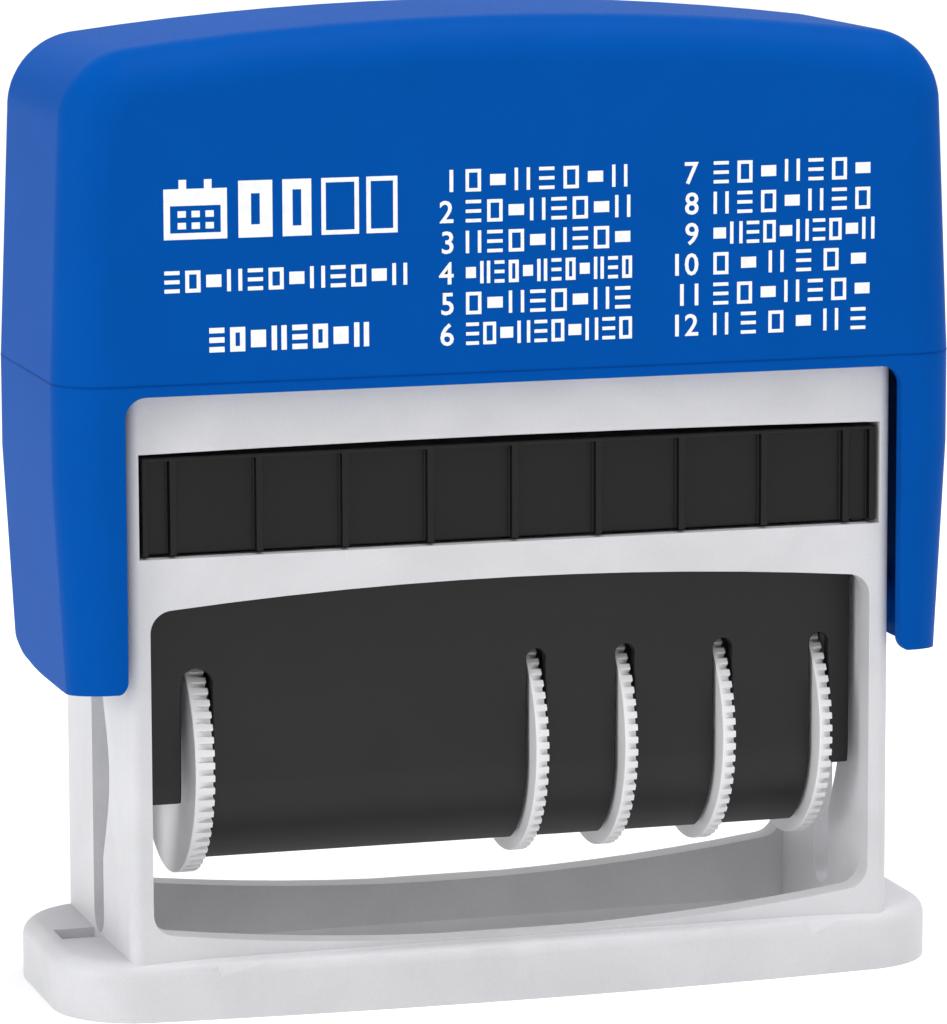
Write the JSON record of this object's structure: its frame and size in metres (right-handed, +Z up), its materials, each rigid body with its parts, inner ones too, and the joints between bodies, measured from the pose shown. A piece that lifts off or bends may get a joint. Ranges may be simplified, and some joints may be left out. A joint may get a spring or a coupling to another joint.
{
  "type": "rotary date stamp",
  "caption": "Self-inking text-and-date stamp: press-down cap, type carriage that flips from ink pad to paper, finger wheels and print bands behind a window.",
  "frame": {"origin": "middle of the base's underside", "axes": "+X along the print line to the right, +Y to the back, +Z up"},
  "size_m": [0.0738, 0.027, 0.0781],
  "materials": {
    "white_plastic": "satin moulded ABS",
    "light_plastic": "satin moulded",
    "wheel_plastic": "satin moulded",
    "blue_plastic": "satin gloss",
    "black_plastic": "satin",
    "band_rubber": "soft matte",
    "pin_steel": "drawn wire",
    "spring_steel": "drawn wire",
    "ink_felt": "inked felt"
  },
  "bodies": {
    "frame": {"base_frame": "white_plastic", "return_spring_left": "spring_steel", "return_spring_right": "spring_steel"},
    "cap": {"cap_shell": "blue_plastic"},
    "carriage": {"carriage_cheek_left": "light_plastic", "carriage_cheek_right": "light_plastic", "front_wheel_cover": "black_plastic", "rear_wheel_cover": "black_plastic", "print_anvil": "light_plastic", "wheel_axle": "pin_steel", "pivot_pin_left": "pin_steel", "pivot_pin_right": "pin_steel", "phrase_band": "band_rubber", "day_tens_band": "band_rubber", "day_units_band": "band_rubber", "month_band": "band_rubber", "year_band": "band_rubber"},
    "pad": {"pad_tray": "black_plastic", "ink_pad": "ink_felt"},
    "phrase_dial": {"phrase_wheel": "wheel_plastic"},
    "day_tens_dial": {"day_tens_wheel": "wheel_plastic"},
    "day_units_dial": {"day_units_wheel": "wheel_plastic"},
    "month_dial": {"month_wheel": "wheel_plastic"},
    "year_dial": {"year_wheel": "wheel_plastic"}
  },
  "joints": [
    {"name": "cap_press", "type": "slide", "parent": "frame", "child": "cap", "axis": [0, 0, -1], "range_m": [0, 0.021], "stiffness_N_per_m": 500, "springref_m": -0.008, "deforming": ["return_spring_left", "return_spring_right"]},
    {"name": "carriage_flip", "type": "hinge", "parent": "cap", "child": "carriage", "pos_m": [0, 0, 0.02885], "axis": [-1, 0, 0], "range_deg": [-1, 181]},
    {"name": "pad_slide", "type": "slide", "parent": "frame", "child": "pad", "axis": [0, -1, 0], "range_m": [0, 0.027]},
    {"name": "phrase_turn", "type": "hinge", "parent": "carriage", "child": "phrase_dial", "pos_m": [0, 0, 0.01917], "axis": [1, 0, 0], "continuous": true},
    {"name": "day_tens_turn", "type": "hinge", "parent": "carriage", "child": "day_tens_dial", "pos_m": [0, 0, 0.01917], "axis": [1, 0, 0], "continuous": true},
    {"name": "day_units_turn", "type": "hinge", "parent": "carriage", "child": "day_units_dial", "pos_m": [0, 0, 0.01917], "axis": [1, 0, 0], "continuous": true},
    {"name": "month_turn", "type": "hinge", "parent": "carriage", "child": "month_dial", "pos_m": [0, 0, 0.01917], "axis": [1, 0, 0], "continuous": true},
    {"name": "year_turn", "type": "hinge", "parent": "carriage", "child": "year_dial", "pos_m": [0, 0, 0.01917], "axis": [1, 0, 0], "continuous": true}
  ],
  "couplings": [
    {"joint": "carriage_flip", "follows": "cap_press", "rad_per_m": 149.6}
  ]
}
